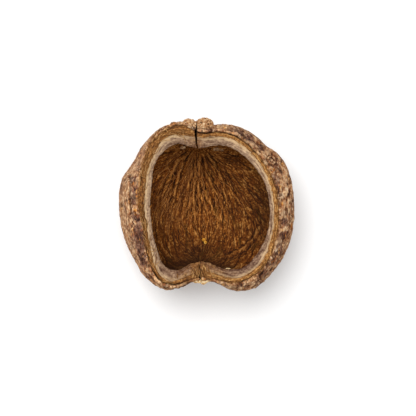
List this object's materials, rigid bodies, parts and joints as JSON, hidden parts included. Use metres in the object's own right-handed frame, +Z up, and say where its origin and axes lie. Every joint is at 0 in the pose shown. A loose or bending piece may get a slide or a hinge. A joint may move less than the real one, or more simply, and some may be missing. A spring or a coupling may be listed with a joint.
{
  "type": "sterculia pod",
  "caption": "Dried, opened woody seed pod without seeds: a thick bowl-shaped husk with a heart-shaped mouth, a grooved lip, a split at the stem end and a fibrous inside.",
  "frame": {"origin": "middle of the pod's outline seen from above, on the surface that its back rests on", "axes": "+Z up, out of the mouth; +Y towards the split stem end; -Y towards the beak; +X to the wider right half"},
  "size_m": [0.0892, 0.0874, 0.0433],
  "materials": {
    "woody_husk": "dry and matt: mottled corky rind, amber and grey lip, reddish-brown fibrous lining"
  },
  "bodies": {
    "root": {"pod": "woody_husk"}
  },
  "joints": []
}
